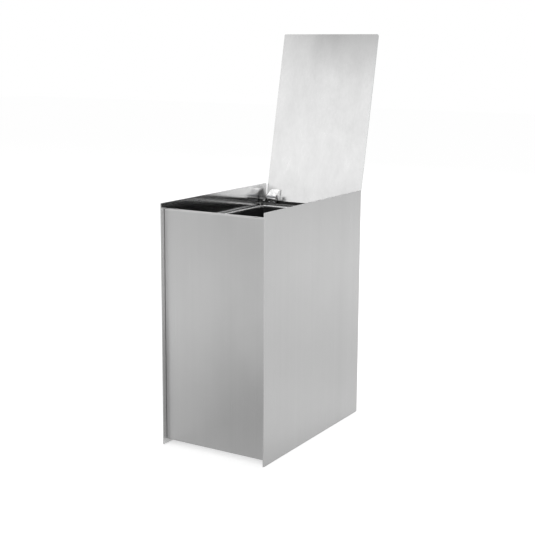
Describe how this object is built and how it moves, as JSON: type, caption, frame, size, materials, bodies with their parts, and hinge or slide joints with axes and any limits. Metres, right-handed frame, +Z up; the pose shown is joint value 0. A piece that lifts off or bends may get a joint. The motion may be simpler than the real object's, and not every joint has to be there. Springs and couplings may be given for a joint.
{
  "type": "waste bin",
  "caption": "Tall rectangular steel waste bin with projecting flat side panels, a flat rear-hinged lid, a lift-out inner bin and a loose bag ring.",
  "frame": {"origin": "on the floor, under the middle of the bounding box of the bin with its lid open", "axes": "+Z up, +X to the right across the bin seen from the front, +Y from the front to the rear"},
  "size_m": [0.29, 0.5728, 0.9995],
  "materials": {
    "brushed_steel": "fine vertical brushing on the outside, near polished on the inside",
    "polished_steel": "polished stainless steel",
    "zinc_plated_steel": "zinc-plated",
    "black_rubber": "matt",
    "clear_silicone": "clear, slightly milky",
    "white_nylon": "satin",
    "black_plastic": "fine moulded grain"
  },
  "bodies": {
    "cabinet": {"left_side_panel": "brushed_steel", "right_side_panel": "brushed_steel", "front_panel": "brushed_steel", "rear_panel": "brushed_steel", "rear_edge_strip": "black_rubber", "base_panel": "zinc_plated_steel", "rear_rail": "brushed_steel", "foot_front_left": "black_rubber", "foot_front_right": "black_rubber", "foot_rear_left": "black_rubber", "foot_rear_right": "black_rubber", "foot_screw_front_left": "zinc_plated_steel", "foot_screw_front_right": "zinc_plated_steel", "foot_screw_rear_left": "zinc_plated_steel", "foot_screw_rear_right": "zinc_plated_steel", "base_pad_front_left": "black_rubber", "base_pad_front_right": "black_rubber", "base_pad_rear_left": "black_rubber", "base_pad_rear_right": "black_rubber", "base_bracket_left": "polished_steel", "base_bracket_right": "polished_steel", "base_bracket_screw_left_outer": "zinc_plated_steel", "base_bracket_screw_left_inner": "zinc_plated_steel", "base_bracket_screw_right_outer": "zinc_plated_steel", "base_bracket_screw_right_inner": "zinc_plated_steel", "base_bracket_nut_left_outer": "zinc_plated_steel", "base_bracket_nut_left_inner": "zinc_plated_steel", "base_bracket_nut_right_outer": "zinc_plated_steel", "base_bracket_nut_right_inner": "zinc_plated_steel", "hinge_pin_left": "zinc_plated_steel", "hinge_pin_right": "zinc_plated_steel", "hinge_washer_left_outer": "white_nylon", "hinge_washer_left_inner": "white_nylon", "hinge_washer_right_outer": "white_nylon", "hinge_washer_right_inner": "white_nylon", "lid_buffer_left": "clear_silicone", "lid_buffer_right": "clear_silicone"},
    "lid": {"lid": "brushed_steel", "lid_bracket_left": "brushed_steel", "lid_bracket_right": "brushed_steel"},
    "inner_bin": {"inner_bin": "black_plastic"},
    "bag_ring": {"bag_ring": "polished_steel"}
  },
  "joints": [
    {"name": "lid_hinge", "type": "hinge", "parent": "cabinet", "child": "lid", "pos_m": [0, 0.17187, 0.567], "axis": [1, 0, 0], "range_deg": [0, 101.93]},
    {"name": "inner_bin_lift", "type": "slide", "parent": "cabinet", "child": "inner_bin", "axis": [0, 0, 1], "range_m": [0, 0.6]},
    {"name": "bag_ring_lift", "type": "slide", "parent": "inner_bin", "child": "bag_ring", "axis": [0, 0, 1], "range_m": [0, 0.018]}
  ]
}
